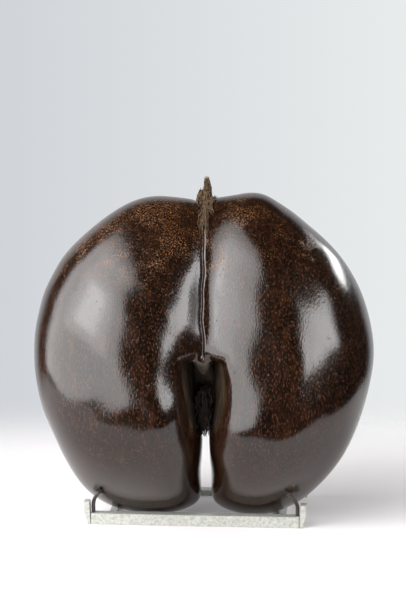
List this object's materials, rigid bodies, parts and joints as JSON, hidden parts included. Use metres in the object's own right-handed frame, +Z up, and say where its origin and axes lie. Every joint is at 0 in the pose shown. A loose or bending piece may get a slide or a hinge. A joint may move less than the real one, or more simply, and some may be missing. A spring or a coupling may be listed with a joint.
{
  "type": "coco de mer nut on a display stand",
  "caption": "Whole polished coco de mer nut, two rounded halves grown together with a fork below, remains of husk fibre in the seam and fork, at rest on a low metal stand.",
  "frame": {"origin": "on the table, under the middle of the whole object's box", "axes": "+Z up, +X to the right when facing the nut's fork, +Y from that side to the back"},
  "size_m": [0.3004, 0.1872, 0.3029],
  "materials": {
    "polished_shell": "polished dark brown shell with fine vertical grain and red-brown flecks",
    "husk_fibre": "dry matted plant fibre",
    "stand_metal": "pale grey cast finish, satin",
    "prong_metal": "dark grey satin rod"
  },
  "bodies": {
    "root": {"nut": "polished_shell", "top_fibre_tuft": "husk_fibre", "fork_fibre_tuft": "husk_fibre", "front_rail": "stand_metal", "rear_rail": "stand_metal", "left_side_bar": "stand_metal", "right_side_bar": "stand_metal", "front_left_upright": "stand_metal", "front_right_upright": "stand_metal", "rear_left_upright": "stand_metal", "rear_right_upright": "stand_metal", "front_left_prong": "prong_metal", "front_right_prong": "prong_metal", "rear_left_prong": "prong_metal", "rear_right_prong": "prong_metal"}
  },
  "joints": []
}
